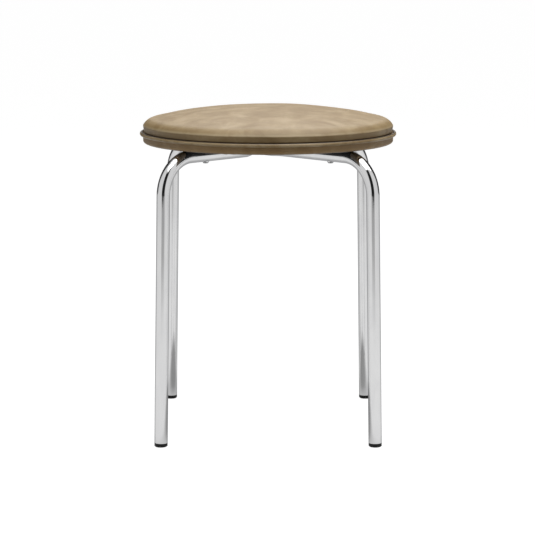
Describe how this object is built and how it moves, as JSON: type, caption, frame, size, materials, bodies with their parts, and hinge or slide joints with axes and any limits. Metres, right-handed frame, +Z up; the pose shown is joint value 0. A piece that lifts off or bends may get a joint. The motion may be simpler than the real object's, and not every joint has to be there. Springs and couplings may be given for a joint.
{
  "type": "round upholstered stool",
  "caption": "Low round stool: a crowned leather-covered seat with piping round its edge, on bent chromed tubes that cross under the seat and stand on push-in feet.",
  "frame": {"origin": "on the floor, under the middle of the seat", "axes": "+Z up from the floor to the seat; the front of the picture is -Y and +X is to the right"},
  "size_m": [0.3577, 0.3578, 0.451],
  "materials": {
    "chrome_tube": "polished chromed steel tube",
    "weld": "plated weld bead",
    "foot": "black moulded plastic",
    "saddle": "black moulded plastic",
    "bolt": "black zinc-plated steel",
    "washer": "chromed steel",
    "nut": "zinc-plated steel",
    "staple": "galvanised wire",
    "plywood": "raw birch plywood",
    "foam": "polyurethane foam",
    "wadding": "polyester wadding",
    "seat_leather": "olive-brown waxed leather",
    "piping_leather": "olive-brown waxed leather",
    "cord": "twisted paper piping cord",
    "dust_cloth": "black non-woven cloth"
  },
  "bodies": {
    "root": {"frame_tube_upper": "chrome_tube", "frame_tube_lower": "chrome_tube", "crossing_welds": "weld", "foot_front_left": "foot", "foot_front_right": "foot", "foot_rear_left": "foot", "foot_rear_right": "foot", "tube_saddles": "saddle", "saddle_washers": "washer", "seat_bolts": "bolt", "t_nuts": "nut", "seat_board": "plywood", "cover_staples": "staple", "dust_cover_staples": "staple", "side_band": "seat_leather", "dust_cover": "dust_cloth", "piping_cover": "piping_leather", "piping_cord": "cord", "foam_pad": "foam", "wadding_layer": "wadding", "top_cover": "seat_leather"}
  },
  "joints": []
}
